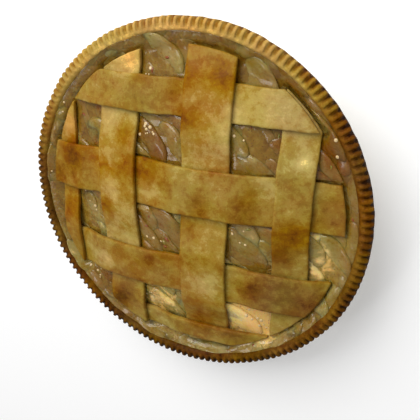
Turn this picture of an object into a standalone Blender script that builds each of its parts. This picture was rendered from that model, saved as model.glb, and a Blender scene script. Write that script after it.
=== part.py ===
"""A lattice-topped apple pie in its plain round pie dish, in metres, with +Z up.

The origin is on the surface that the dish stands on, under the middle of the pie. The lattice strips
run along X and Y. Every outline is worked out from the driving dimensions below.
"""

import math
import random

import bmesh
import bpy
from mathutils import Vector

MM = 0.001

# Driving dimensions of the pie
RIM_RADIUS = 120 * MM  # outermost edge of the pastry rim
RIM_EDGE_HEIGHT = 39.5 * MM  # height of that edge above the table
CROWN_RISE = 3.6 * MM  # how much higher the crown of the rim is
RIM_WIDTH = 7.6 * MM  # from the outermost edge in to the filling
PASTRY_WALL = 4.5 * MM
FORK_MARKS = 156  # tine marks round the rim
FORK_DEPTH = 1.1 * MM
LATTICE_RADIUS = 103.8 * MM  # circle that the strips are cut to
LATTICE_EDGE_HEIGHT = 38.5 * MM  # middle of the weave at that circle
DOME_RISE = 12.7 * MM  # how much higher the weave is over the middle of the pie
STRIP_THICKNESS = 3.2 * MM
SLICE_RISE = 3.1 * MM  # of the apple slices between the strips, above the filling under them
MOAT_SLICE_RISE = 1.3 * MM  # of those between the strips' ends and the rim
GAP = 0.4 * MM  # clearance between pieces that touch
SPARE_GAP = 0.05 * MM  # added where pieces are only nearly parallel
STRIP_EDGE_LOSS = 0.3 * MM  # how much thinner a strip is on each side at its edges
STRIP_END_LOSS = 0.5 * MM  # how far short of the lattice circle its ends stop
STRIP_EDGE_WAVES = 3  # sine waves that a strip's wavering edges are made of

# Driving dimensions of the dish
DISH_HEIGHT = 36 * MM
DISH_BASE_RADIUS = 88 * MM
DISH_FLOOR = 5 * MM
DISH_WALL = 5 * MM
LIP_RADIUS = 116.5 * MM
LIP_WIDTH = 8 * MM
LIP_THICKNESS = 4 * MM
FOOT_WIDTH = 12 * MM
FOOT_HEIGHT = 1.2 * MM

# Facets: two for each tine mark on the rim, and one for every second mark on the body
RIM_SIDES = FORK_MARKS * 2
BODY_SIDES = FORK_MARKS // 2
LONG_STRIP_STATIONS = 22
SHORT_STRIP_STATIONS = 14
SHORT_STRIP_REACH = 65 * MM
MOAT_SLICE_SIDES = 3  # of the body's facets to each slice beyond the strips
CIRCLE_CUTS = 40  # straight cuts that stand for the lattice circle round a window
SMOOTH_ANGLE = math.radians(35)

# Slices in the windows of the lattice
WINDOW_MARGIN = 1.6 * MM  # clearance to the strips round a window
SLICE_GAP = 0.8 * MM  # between slices side by side
SMALLEST_WINDOW = 60 * MM * MM
SMALLEST_SLICE = 25 * MM * MM
SLICE_TURNS = (0.6, 0.9, 2.2, 2.5)  # radians
SLICE_LAYERS = ((1.0, -0.6), (0.97, 0.55), (0.72, 1.0))  # width and height of each ring, as shares

# Weave: what a strip's middle is above or below the middle of the weave, and where it is level
WEAVE_OFFSET = (STRIP_THICKNESS + GAP + SPARE_GAP) / 2
WEAVE_MARGIN = 2 * MM
FREE_END = 8 * MM  # an end longer than this past its last crossing lies level with the weave
FILLING_DROP = WEAVE_OFFSET + STRIP_THICKNESS / 2 + GAP + SPARE_GAP

# Cuts: the lattice circle is marked every 18 degrees, and the strips' edges run between the marks
MARK_ANGLE = math.radians(18)
CUTS = [LATTICE_RADIUS * math.sin(MARK_ANGLE * k) for k in range(6)]
STRIPS_ALONG_Y = [(-CUTS[4], -CUTS[3]), (-CUTS[2], -CUTS[1]), (CUTS[0], CUTS[1]), (CUTS[2], CUTS[3])]
STRIPS_ALONG_X = [(CUTS[2], CUTS[3]), (CUTS[0], CUTS[1]), (-CUTS[2], -CUTS[1]), (-CUTS[4], -CUTS[3])]
GAPS_ALONG_X = [(-CUTS[3], -CUTS[2]), (-CUTS[1], CUTS[0]), (CUTS[1], CUTS[2]), (CUTS[3], CUTS[5])]
GAPS_ALONG_Y = [(CUTS[3], CUTS[5]), (CUTS[1], CUTS[2]), (-CUTS[1], CUTS[0]), (-CUTS[3], -CUTS[2])]

# Seeds of the random draws that make the pieces uneven
RIM_SEED = 11
FILLING_SEED = 5
STRIPS_ALONG_Y_SEED = 20
STRIPS_ALONG_X_SEED = 40


def clear_scene():
    """Removes what the scene opened with."""
    for obj in list(bpy.data.objects):
        bpy.data.objects.remove(obj, do_unlink=True)


def make_material(name, colour, roughness):
    """A Principled surface with one colour and one roughness."""
    material = bpy.data.materials.new(name)
    material.use_nodes = True
    shader = material.node_tree.nodes["Principled BSDF"]
    shader.inputs["Base Color"].default_value = (*colour, 1.0)
    shader.inputs["Roughness"].default_value = roughness
    shader.inputs["Metallic"].default_value = 0.0
    return material


def ring(sides, radius, height):
    """A level ring of points round the pie's axis."""
    turns = (2 * math.pi * k / sides for k in range(sides))
    return [Vector((radius * math.cos(t), radius * math.sin(t), height)) for t in turns]


def stitch(bm, first, second):
    """Faces between two rings. One may have twice as many points as the other."""
    count = min(len(first), len(second))
    for k in range(count):
        after = (k + 1) % count
        if len(first) == len(second):
            bm.faces.new((first[k], first[after], second[after], second[k]))
        elif len(second) > count:
            a, b, c = second[2 * k], second[2 * k + 1], second[2 * after]
            bm.faces.new((first[k], b, a))
            bm.faces.new((first[k], first[after], b))
            bm.faces.new((first[after], c, b))
        else:
            a, b, c = first[2 * k], first[2 * k + 1], first[2 * after]
            bm.faces.new((a, b, second[k]))
            bm.faces.new((b, second[after], second[k]))
            bm.faces.new((b, c, second[after]))


def loft(name, loops, material=None):
    """A closed solid through rings of points, from its underside outwards and up to its top."""
    bm = bmesh.new()
    rings = [[bm.verts.new(point) for point in points] for points in loops]
    for first, second in zip(rings, rings[1:]):
        stitch(bm, first, second)
    bm.faces.new(reversed(rings[0]))
    bm.faces.new(rings[-1])
    bmesh.ops.triangulate(bm, faces=bm.faces)
    mesh = bpy.data.meshes.new(name)
    bm.to_mesh(mesh)
    bm.free()
    if material is not None:
        mesh.materials.append(material)
        mesh.shade_smooth()
        mesh.set_sharp_from_angle(angle=SMOOTH_ANGLE)
    obj = bpy.data.objects.new(name, mesh)
    bpy.context.scene.collection.objects.link(obj)
    return obj


def weave_height(x, y):
    """Height of the middle of the weave over a point: a shallow dome."""
    share = (x * x + y * y) / LATTICE_RADIUS**2
    return LATTICE_EDGE_HEIGHT + DOME_RISE * (1 - share)


def dish_inside():
    """The dish's inner outline, from its floor to the inner edge of its lip."""
    lip_inner = LIP_RADIUS - LIP_WIDTH
    return [
        (DISH_BASE_RADIUS - 6 * MM, DISH_FLOOR),
        (DISH_BASE_RADIUS, DISH_FLOOR + 4 * MM),
        (lip_inner - 2.2 * MM, DISH_HEIGHT - 2.4 * MM),
        (lip_inner, DISH_HEIGHT),
    ]


def make_dish(material):
    """The plain round dish: a foot ring, a sloping wall and a flat lip."""
    foot_inner = DISH_BASE_RADIUS - FOOT_WIDTH
    lip_inner = LIP_RADIUS - LIP_WIDTH
    lip_under = DISH_HEIGHT - LIP_THICKNESS
    outline = [
        (foot_inner - FOOT_HEIGHT, FOOT_HEIGHT),
        (foot_inner, 0),
        (DISH_BASE_RADIUS - 1 * MM, 0),
        (DISH_BASE_RADIUS + 1 * MM, 1.5 * MM),
        (lip_inner - 1 * MM + DISH_WALL / 2, lip_under),
        (LIP_RADIUS - 0.8 * MM, lip_under + 0.6 * MM),
        (LIP_RADIUS, DISH_HEIGHT - 1 * MM),
        (LIP_RADIUS - 1 * MM, DISH_HEIGHT),
    ]
    outline += reversed(dish_inside())
    return loft("pie_dish", [ring(BODY_SIDES, *point) for point in outline], material)


def fork_ring(radius, height, pull_in, press_down, depths):
    """Ridges and grooves round the rim. A groove is pulled in and pressed down by its tine."""
    points = []
    for k, ridge in enumerate(ring(RIM_SIDES, radius, height)):
        depth = depths[k // 2] if k % 2 else 0.0
        outward = Vector((ridge.x, ridge.y, 0)).normalized()
        points.append(ridge - outward * pull_in * depth - Vector((0, 0, press_down * depth)))
    return points


def make_crust(material):
    """The pastry case: it lines the dish, lies on its lip and overhangs it a little."""
    uneven = random.Random(RIM_SEED)
    depths = [FORK_DEPTH * uneven.uniform(0.7, 1.25) for _ in range(FORK_MARKS)]
    underside = [(radius - GAP, height + GAP) for radius, height in dish_inside()]
    lip_top = DISH_HEIGHT + GAP
    edge = RIM_EDGE_HEIGHT
    crown = edge + CROWN_RISE
    loops = [ring(BODY_SIDES, *point) for point in underside]
    loops += [
        ring(BODY_SIDES, LIP_RADIUS - 1 * MM, lip_top),
        ring(FORK_MARKS, RIM_RADIUS - 1.6 * MM, lip_top - 0.6 * MM),
        fork_ring(RIM_RADIUS - 0.3 * MM, edge - 1.6 * MM, 0.7, 0.0, depths),
        fork_ring(RIM_RADIUS, edge + 0.3 * MM, 0.8, 0.3, depths),
        fork_ring(RIM_RADIUS - 1.6 * MM, crown - 1.2 * MM, 0.0, 1.0, depths),
        fork_ring(RIM_RADIUS - 5 * MM, crown, 0.0, 0.7, depths),
        ring(FORK_MARKS, RIM_RADIUS - RIM_WIDTH, crown - 1.2 * MM),
    ]
    loops += [ring(BODY_SIDES, *point) for point in crust_inside()]
    return loft("pastry_case", loops, material)


def crust_inside():
    """The pastry case's inner outline, from just inside its rim down to its floor."""
    floor_corner, floor_edge, wall_top, _ = dish_inside()
    return [
        (RIM_RADIUS - RIM_WIDTH - 0.5 * MM, RIM_EDGE_HEIGHT + 1.5 * MM),
        (RIM_RADIUS - RIM_WIDTH - 1.9 * MM, RIM_EDGE_HEIGHT + 0.1 * MM),
        (wall_top[0] - GAP - PASTRY_WALL, wall_top[1]),
        (floor_edge[0] - GAP - PASTRY_WALL, floor_edge[1] + GAP + PASTRY_WALL / 2),
        (floor_corner[0] - GAP - PASTRY_WALL, floor_corner[1] + GAP + PASTRY_WALL),
    ]


def clip(outline, direction, limit):
    """The part of a convex outline on the near side of a line square to a direction."""
    kept = []
    for a, b in zip(outline, outline[1:] + outline[:1]):
        side_a, side_b = a.dot(direction) - limit, b.dot(direction) - limit
        if side_a <= 0:
            kept.append(a)
        if side_a * side_b < 0:
            kept.append(a.lerp(b, side_a / (side_a - side_b)))
    return kept


def area(outline):
    """The area inside a flat outline."""
    pairs = zip(outline, outline[1:] + outline[:1])
    return sum(a.x * b.y - a.y * b.x for a, b in pairs) / 2


def heaped_slice(outline, under, rise):
    """An apple slice that lies in the filling: an outline with a rounded top over it."""
    middle = sum(outline, Vector((0, 0))) / len(outline)
    loops = []
    for scale, share in SLICE_LAYERS:
        points = [middle + (point - middle) * scale for point in outline]
        loops.append([Vector((p.x, p.y, under(p) + rise * share)) for p in points])
    return loft("slice", loops)


def bands(outline, turn, count, chance):
    """Cuts an outline into uneven bands side by side, square to a direction."""
    direction = Vector((math.cos(turn), math.sin(turn)))
    reach = [point.dot(direction) for point in outline]
    low, high = min(reach), max(reach)
    lines = [low + (high - low) * (k + chance.uniform(-0.12, 0.12)) / count for k in range(1, count)]
    for start, end in zip([low] + lines, lines + [high]):
        band = clip(outline, direction, end - SLICE_GAP / 2)
        band = clip(band, -direction, -start - SLICE_GAP / 2)
        if len(band) > 2 and area(band) > SMALLEST_SLICE:
            yield band


def window(x0, x1, y0, y1):
    """The outline of one gap of the lattice, clear of its strips and inside the lattice circle."""
    left, right = x0 + WINDOW_MARGIN, x1 - WINDOW_MARGIN
    near, far = y0 + WINDOW_MARGIN, y1 - WINDOW_MARGIN
    outline = [Vector((left, near)), Vector((right, near)), Vector((right, far)), Vector((left, far))]
    for k in range(CIRCLE_CUTS):
        turn = 2 * math.pi * k / CIRCLE_CUTS
        outline = clip(outline, Vector((math.cos(turn), math.sin(turn))), LATTICE_RADIUS - WINDOW_MARGIN)
        if len(outline) < 3:
            return []
    return outline


def core_height(point):
    """Height of the bare filling under the lattice, at a point seen from above."""
    return weave_height(point.x, point.y) - FILLING_DROP


def window_slices(chance):
    """Two or three slices in each gap of the lattice."""
    for x0, x1 in GAPS_ALONG_X:
        for y0, y1 in GAPS_ALONG_Y:
            outline = window(x0, x1, y0, y1)
            count = chance.choice((2, 3))
            turn = chance.choice(SLICE_TURNS) + chance.uniform(-0.2, 0.2)
            if not outline or area(outline) < SMALLEST_WINDOW:
                continue
            for band in bands(outline, turn, count, chance):
                rise = SLICE_RISE * chance.uniform(0.8, 1.0)
                yield heaped_slice(band, core_height, rise)


def moat_height(radius):
    """Height of the filling between the strips' ends and the rim."""
    share = (radius - LATTICE_RADIUS) / (RIM_RADIUS - RIM_WIDTH - LATTICE_RADIUS)
    return RIM_EDGE_HEIGHT - 0.6 * MM + 1.8 * MM * share


def moat_ring(radius, share, rises):
    """A ring of the filling beyond the strips: slices end to end with a dip between them."""
    points = ring(BODY_SIDES, radius, moat_height(radius))
    for k, point in enumerate(points):
        if k % MOAT_SLICE_SIDES:
            point.z += share * rises[k // MOAT_SLICE_SIDES]
    return points


def join_to(core, pieces):
    """Joins pieces to the core with one Boolean union, and removes them."""
    group = bpy.data.collections.new("slices")
    bpy.context.scene.collection.children.link(group)
    for piece in pieces:
        bpy.context.scene.collection.objects.unlink(piece)
        group.objects.link(piece)
    union = core.modifiers.new("join", "BOOLEAN")
    union.operation = "UNION"
    union.operand_type = "COLLECTION"
    union.collection = group
    union.solver = "MANIFOLD"
    graph = bpy.context.evaluated_depsgraph_get()
    joined = bpy.data.meshes.new_from_object(core.evaluated_get(graph))
    core.modifiers.clear()
    core.data = joined
    for piece in list(group.objects):
        bpy.data.objects.remove(piece, do_unlink=True)
    bpy.data.collections.remove(group)


def make_filling(material):
    """The apple filling: it fills the case, and the slices that show are fused on."""
    rim_foot, slope_top, *rest = crust_inside()
    underside = [(radius - GAP, height + GAP) for radius, height in reversed(rest)]
    shore = rim_foot[0] - GAP
    chance = random.Random(FILLING_SEED)
    moat_slices = BODY_SIDES // MOAT_SLICE_SIDES
    rises = [MOAT_SLICE_RISE * chance.uniform(0.5, 1.2) for _ in range(moat_slices)]
    loops = [ring(BODY_SIDES, *point) for point in underside]
    loops += [
        ring(BODY_SIDES, slope_top[0] - GAP, slope_top[1] + GAP),
        moat_ring(shore, 0.4, rises),
        moat_ring((shore + LATTICE_RADIUS) / 2, 1.0, rises),
        moat_ring(LATTICE_RADIUS + 0.9 * MM, 0.2, rises),
    ]
    for share, sides in ((1.003, 1), (0.84, 1), (0.66, 1), (0.48, 2), (0.3, 2), (0.12, 2)):
        radius = LATTICE_RADIUS * share
        loops.append(ring(BODY_SIDES // sides, radius, weave_height(radius, 0) - FILLING_DROP))
    core = loft("apple_filling", loops, material)
    join_to(core, list(window_slices(chance)))


def smooth_step(t):
    """A smooth rise from 0 to 1."""
    t = min(max(t, 0.0), 1.0)
    return t * t * (3 - 2 * t)


def weave_stops(crossings, reach):
    """Where a strip is level along its length: (from, to, how far above the weave)."""
    stops = [
        (low - WEAVE_MARGIN, high + WEAVE_MARGIN, WEAVE_OFFSET if over else -WEAVE_OFFSET)
        for low, high, over in sorted(crossings)
    ]
    if stops[0][0] + reach > FREE_END:
        stops.insert(0, (-reach, -reach, 0.0))
    if reach - stops[-1][1] > FREE_END:
        stops.append((reach, reach, 0.0))
    return stops


def weave_offset(stops, along):
    """How far a strip's middle is above the weave's at a place along it."""
    for (_, start, first), (end, _, second) in zip(stops, stops[1:]):
        if along <= start:
            return first
        if along < end:
            return first + (second - first) * smooth_step((along - start) / (end - start))
    return stops[-1][2]


def make_strip(name, low, high, others, along_y, seed, material):
    """One pastry strip, cut to the lattice circle and woven over and under the others."""
    chance = random.Random(seed)
    waves = []
    for _ in range(STRIP_EDGE_WAVES):
        waves.append((chance.uniform(60, 140), chance.uniform(0, 6.28), chance.uniform(0.1, 0.2) * MM))
    near = min(abs(low), abs(high))
    reach = math.sqrt(LATTICE_RADIUS**2 - near**2)
    crossings = [(a, b, over) for a, b, over in others if min(abs(a), abs(b)) < reach - 1 * MM]
    stops = weave_stops(crossings, reach)
    half = STRIP_THICKNESS / 2
    edge = half - STRIP_EDGE_LOSS
    underside = [(-0.94, -edge), (0, -half), (0.94, -edge), (1, 0)]
    section = underside + [(-share, -lift) for share, lift in underside]
    stations = SHORT_STRIP_STATIONS if reach < SHORT_STRIP_REACH else LONG_STRIP_STATIONS
    loops = []
    for k in range(stations + 1):
        points = []
        for share, lift in section:
            across = (low + high) / 2 + ((high - low) / 2 - GAP) * share
            end = math.sqrt(LATTICE_RADIUS**2 - across**2) - STRIP_END_LOSS
            along = end * (k / stations * 2 - 1)
            across += abs(share) * sum(size * math.sin(rate * along + shift) for rate, shift, size in waves)
            x, y = (across, along) if along_y else (along, across)
            if k in (0, stations):
                lift *= 0.6
            points.append(Vector((x, y, weave_height(x, y) + weave_offset(stops, along) + lift)))
        loops.append(points[::-1] if along_y else points)
    return loft(name, loops, material)


def make_lattice(material):
    """Eight strips. One along Y passes over one along X where their numbers add up to even."""
    for i, (low, high) in enumerate(STRIPS_ALONG_Y):
        others = [(y0, y1, (i + j) % 2 == 0) for j, (y0, y1) in enumerate(STRIPS_ALONG_X)]
        make_strip(f"strip_y{i}", low, high, others, True, STRIPS_ALONG_Y_SEED + i, material)
    for j, (low, high) in enumerate(STRIPS_ALONG_X):
        others = [(x0, x1, (i + j) % 2 == 1) for i, (x0, x1) in enumerate(STRIPS_ALONG_Y)]
        make_strip(f"strip_x{j}", low, high, others, False, STRIPS_ALONG_X_SEED + j, material)


def main():
    """Makes the dish, the crust, the filling and the lattice."""
    clear_scene()
    glaze = make_material("dish_glaze", (0.80, 0.77, 0.71), 0.25)
    pastry = make_material("pastry", (0.47, 0.27, 0.06), 0.6)
    apple = make_material("apple", (0.38, 0.24, 0.08), 0.3)
    make_dish(glaze)
    make_crust(pastry)
    make_filling(apple)
    make_lattice(pastry)


main()
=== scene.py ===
"""The looks of a lattice-topped apple pie in its dish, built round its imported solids.

Everything is in metres in the solids' own frame: the origin is under the middle of the pie, +Z is up,
and the lattice strips run along X and Y. Each sub-assembly is a class that models its pieces and
dresses them, and each finish is a frozen dataclass that makes its material.
"""

import logging
import math
import random
from collections.abc import Callable, Iterator
from contextlib import contextmanager
from dataclasses import dataclass, field
from enum import Enum

import bpy
from mathutils import Matrix, Vector, noise
from mathutils.bvhtree import BVHTree


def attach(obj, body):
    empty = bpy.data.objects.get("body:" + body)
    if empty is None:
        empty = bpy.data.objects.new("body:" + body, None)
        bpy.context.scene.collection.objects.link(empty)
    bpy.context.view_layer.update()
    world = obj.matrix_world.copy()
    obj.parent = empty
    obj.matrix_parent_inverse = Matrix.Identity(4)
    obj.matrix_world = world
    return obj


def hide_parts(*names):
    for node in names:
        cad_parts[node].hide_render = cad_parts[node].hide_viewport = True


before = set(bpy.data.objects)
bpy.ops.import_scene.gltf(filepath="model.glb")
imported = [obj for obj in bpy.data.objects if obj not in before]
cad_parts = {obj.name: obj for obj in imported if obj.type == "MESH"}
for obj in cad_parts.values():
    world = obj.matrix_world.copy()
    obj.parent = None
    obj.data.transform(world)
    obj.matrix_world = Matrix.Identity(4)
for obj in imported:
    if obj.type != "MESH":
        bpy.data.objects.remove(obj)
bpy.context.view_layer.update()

MM = 0.001
BODY = "root"
log = logging.getLogger("pie")

Colour = tuple[float, float, float, float]
Stops = tuple[tuple[float, Colour], ...]


def linear(red: int, green: int, blue: int) -> Colour:
    """Turns a screen colour into the linear one that shaders take.

    Args:
        red: Red from 0 to 255.
        green: Green from 0 to 255.
        blue: Blue from 0 to 255.

    Returns:
        Linear red, green and blue, and a full alpha.
    """
    shares = (channel / 255 for channel in (red, green, blue))
    values = [s / 12.92 if s <= 0.04045 else ((s + 0.055) / 1.055) ** 2.4 for s in shares]
    return (values[0], values[1], values[2], 1.0)


def smooth_step(t: float) -> float:
    """A smooth rise from 0 at t = 0 to 1 at t = 1."""
    t = min(max(t, 0.0), 1.0)
    return t * t * (3 - 2 * t)


def rising(value: float, start: float, width: float) -> float:
    """A smooth rise from 0 at the start to 1 a width further on, or further back if the width is minus."""
    return smooth_step((value - start) / width)


def bump_at(distance: float, size: float) -> float:
    """A rounded bump of height 1 that has faded out at twice its size."""
    return math.exp(-((distance / size) ** 2))


class RunsAlong(Enum):
    """Which way a strip of the lattice runs."""

    X = "x"
    Y = "y"


# Modelling


def deselect() -> None:
    """Leaves nothing selected, in object mode."""
    bpy.ops.object.select_all(action="DESELECT")


@contextmanager
def editing(piece: bpy.types.Object) -> Iterator[None]:
    """Puts one piece in edit mode with all of it selected, and leaves the mode at the end.

    Args:
        piece: The mesh object to edit.

    Yields:
        Nothing, while the piece is in edit mode.
    """
    deselect()
    piece.select_set(True)
    bpy.context.view_layer.objects.active = piece
    bpy.ops.object.mode_set(mode="EDIT")
    bpy.ops.mesh.select_all(action="SELECT")
    yield
    bpy.ops.object.mode_set(mode="OBJECT")


def select_vertices(piece: bpy.types.Object, wanted: Callable[[Vector], bool]) -> None:
    """Selects the vertices whose place passes a test, in object mode.

    Args:
        piece: The mesh object.
        wanted: Says whether the vertex at a place is wanted.
    """
    mesh = piece.data
    chosen = [wanted(vertex.co) for vertex in mesh.vertices]
    mesh.polygons.foreach_set("select", [False] * len(mesh.polygons))
    mesh.edges.foreach_set("select", [False] * len(mesh.edges))
    mesh.vertices.foreach_set("select", chosen)


def apply_modifier(piece: bpy.types.Object, kind: str, **settings: object) -> None:
    """Adds a modifier to a piece, sets it up and applies it.

    Args:
        piece: The mesh object.
        kind: Blender's name for the modifier's type.
        **settings: The modifier's own values.
    """
    deselect()
    piece.select_set(True)
    bpy.context.view_layer.objects.active = piece
    modifier = piece.modifiers.new(kind.lower(), kind)
    for key, value in settings.items():
        setattr(modifier, key, value)
    bpy.ops.object.modifier_apply(modifier=modifier.name)


def roughen(piece: bpy.types.Object, size: float, depth: float, group: str = "") -> None:
    """Displaces a surface by soft clouds, up and down by half their depth.

    Args:
        piece: The mesh object.
        size: How far apart the bumps are.
        depth: From the lowest pit to the highest bump.
        group: The vertex group that it is limited to, if any.
    """
    texture = bpy.data.textures.new(f"{piece.name}_clouds", "CLOUDS")
    texture.noise_scale = size
    texture.noise_depth = 2
    settings = {"texture": texture, "texture_coords": "LOCAL", "mid_level": 0.5, "vertex_group": group}
    apply_modifier(piece, "DISPLACE", strength=depth, **settings)


def turned(name: str, outline: list[tuple[float, float]], steps: int) -> bpy.types.Object:
    """Spins a closed outline round the pie's axis.

    Args:
        name: The piece's name.
        outline: Radius and height of each point, from the axis on the underside out and back over the top.
        steps: Facets round the axis.

    Returns:
        The closed solid of revolution, with its faces outwards.
    """
    deselect()
    bpy.ops.mesh.primitive_circle_add(vertices=len(outline), fill_type="NOTHING")
    piece = bpy.context.object
    piece.name = name
    for vertex, (radius, height) in zip(piece.data.vertices, outline):
        vertex.co = (radius, 0.0, height)
    with editing(piece):
        bpy.ops.mesh.spin(steps=steps, angle=2 * math.pi, center=(0, 0, 0), axis=(0, 0, 1))
        bpy.ops.mesh.select_all(action="SELECT")
        bpy.ops.mesh.remove_doubles(threshold=0.01 * MM)
        bpy.ops.mesh.delete_loose()
        bpy.ops.mesh.select_all(action="SELECT")
        bpy.ops.mesh.normals_make_consistent(inside=False)
    return piece


def arc(
    centre: tuple[float, float], radii: tuple[float, float], start: float, end: float, steps: int
) -> list[tuple[float, float]]:
    """Points along an arc of an ellipse, in radius and height.

    Args:
        centre: The ellipse's centre.
        radii: Its half width and half height.
        start: The first point's angle in degrees, from the outward direction.
        end: The last point's angle in degrees.
        steps: How many parts the arc is in.

    Returns:
        The points, both ends included.
    """
    turns = [math.radians(start + (end - start) * k / steps) for k in range(steps + 1)]
    return [(centre[0] + radii[0] * math.cos(t), centre[1] + radii[1] * math.sin(t)) for t in turns]


def write_attribute(piece: bpy.types.Object, name: str, value: Callable[[Vector], float]) -> None:
    """Writes a number on each vertex, for the piece's material to read.

    Args:
        piece: The mesh object.
        name: The attribute's name.
        value: Gives the number at a place.
    """
    mesh = piece.data
    layer = mesh.attributes.get(name) or mesh.attributes.new(name, "FLOAT", "POINT")
    layer.data.foreach_set("value", [value(vertex.co) for vertex in mesh.vertices])


def dress(piece: bpy.types.Object, material: bpy.types.Material, slot: str, *nodes: str) -> bpy.types.Object:
    """Gives a finished piece its material and its place in the part.

    Args:
        piece: The mesh object.
        material: Its finish.
        slot: The record's material slot; not used.
        *nodes: The solids that it stands for.

    Returns:
        The same piece.
    """
    deselect()
    piece.select_set(True)
    bpy.context.view_layer.objects.active = piece
    bpy.ops.object.shade_smooth()
    piece.data.materials.clear()
    piece.data.materials.append(material)
    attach(piece, BODY)
    if nodes:
        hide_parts(*nodes)
    log.info("%s: %d faces", piece.name, len(piece.data.polygons))
    return piece


def copy_of(master: bpy.types.Object) -> bpy.types.Object:
    """Copies a piece.

    Args:
        master: The mesh object to copy.

    Returns:
        The copy, with its own mesh.
    """
    piece = master.copy()
    piece.data = master.data.copy()
    bpy.context.scene.collection.objects.link(piece)
    return piece


def join(name: str, pieces: list[bpy.types.Object]) -> bpy.types.Object:
    """Joins several pieces into one object.

    Args:
        name: The joined piece's name.
        pieces: The mesh objects, which are used up.

    Returns:
        The joined object.
    """
    deselect()
    for piece in pieces:
        piece.select_set(True)
    bpy.context.view_layer.objects.active = pieces[0]
    bpy.ops.object.join()
    pieces[0].name = name
    return pieces[0]


def surface_of(pieces: list[bpy.types.Object]) -> BVHTree:
    """Gathers the faces of pieces, to find their height at a point.

    Args:
        pieces: The mesh objects.

    Returns:
        A tree that rays can be cast at.
    """
    vertices, faces = [], []
    for piece in pieces:
        first = len(vertices)
        vertices.extend(vertex.co.copy() for vertex in piece.data.vertices)
        faces.extend([first + index for index in polygon.vertices] for polygon in piece.data.polygons)
    return BVHTree.FromPolygons(vertices, faces)


# Finishes


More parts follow.
